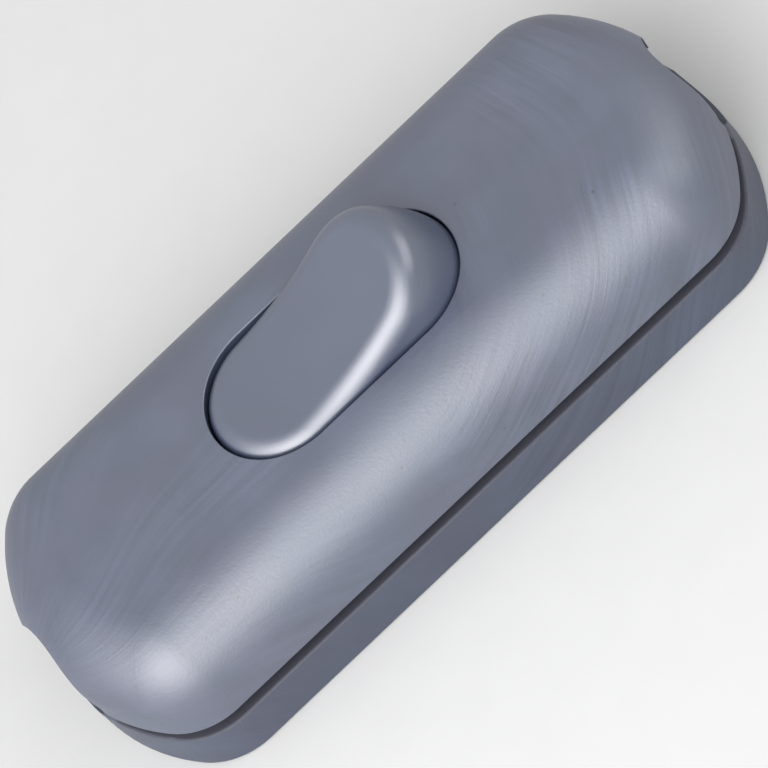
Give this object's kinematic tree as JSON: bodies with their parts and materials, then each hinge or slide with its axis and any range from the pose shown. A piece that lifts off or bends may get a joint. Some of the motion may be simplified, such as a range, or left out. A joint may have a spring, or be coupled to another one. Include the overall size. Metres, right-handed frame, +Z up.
{
  "type": "inline cord switch",
  "caption": "Long rounded plastic housing split by a groove, with a rocker on top that tips a spring-loaded contact, and a round cord entry at each end.",
  "frame": {"origin": "middle of the underside of the base, on the surface that the switch lies on", "axes": "+X along the cord towards the raised end of the rocker, +Y across the housing, +Z up out of the rocker's face"},
  "size_m": [0.0714, 0.0284, 0.0211],
  "materials": {
    "housing_plastic": "silver-grey pigmented moulding with faint flow lines",
    "rocker_plastic": "smooth silver-grey moulding, glossier than the housing",
    "clamp_plastic": "plain light grey moulding",
    "nylon": "natural white moulding",
    "brass": "bright stamped brass",
    "contact_bronze": "bright stamped bronze",
    "contact_silver": "silver contact rivet",
    "screw_steel": "bright zinc-plated steel",
    "spring_steel": "drawn spring wire"
  },
  "bodies": {
    "housing": {"base": "housing_plastic", "top_cover": "housing_plastic", "fixed_contact_strip": "brass", "fixed_contact_tip": "contact_silver", "saddle_bracket": "brass", "neutral_link": "brass", "live_in_terminal": "brass", "live_out_terminal": "brass", "neutral_in_terminal": "brass", "neutral_out_terminal": "brass", "terminal_screws": "screw_steel", "left_cord_clamp": "clamp_plastic", "right_cord_clamp": "clamp_plastic", "cord_clamp_screws": "screw_steel", "housing_screws": "screw_steel"},
    "rocker": {"rocker": "rocker_plastic", "plunger_spring": "spring_steel"},
    "plunger": {"plunger": "nylon"},
    "seesaw": {"seesaw_contact": "contact_bronze", "moving_contact_tip": "contact_silver"}
  },
  "joints": [
    {"name": "rocker_pivot", "type": "hinge", "parent": "housing", "child": "rocker", "pos_m": [0, 0, 0.0124], "axis": [0, 1, 0], "range_deg": [0, 30]},
    {"name": "plunger_slide", "type": "slide", "parent": "rocker", "child": "plunger", "axis": [-0.2588, 0, 0.9659], "range_m": [0, 0.0008], "stiffness_N_per_m": 400, "springref_m": -0.002, "deforming": ["plunger_spring"]},
    {"name": "seesaw_rock", "type": "hinge", "parent": "housing", "child": "seesaw", "pos_m": [0, 0, 0.0057], "axis": [0, 1, 0], "range_deg": [-12, 0]}
  ],
  "couplings": [
    {"joint": "seesaw_rock", "follows": "rocker_pivot", "ratio": -0.4}
  ]
}
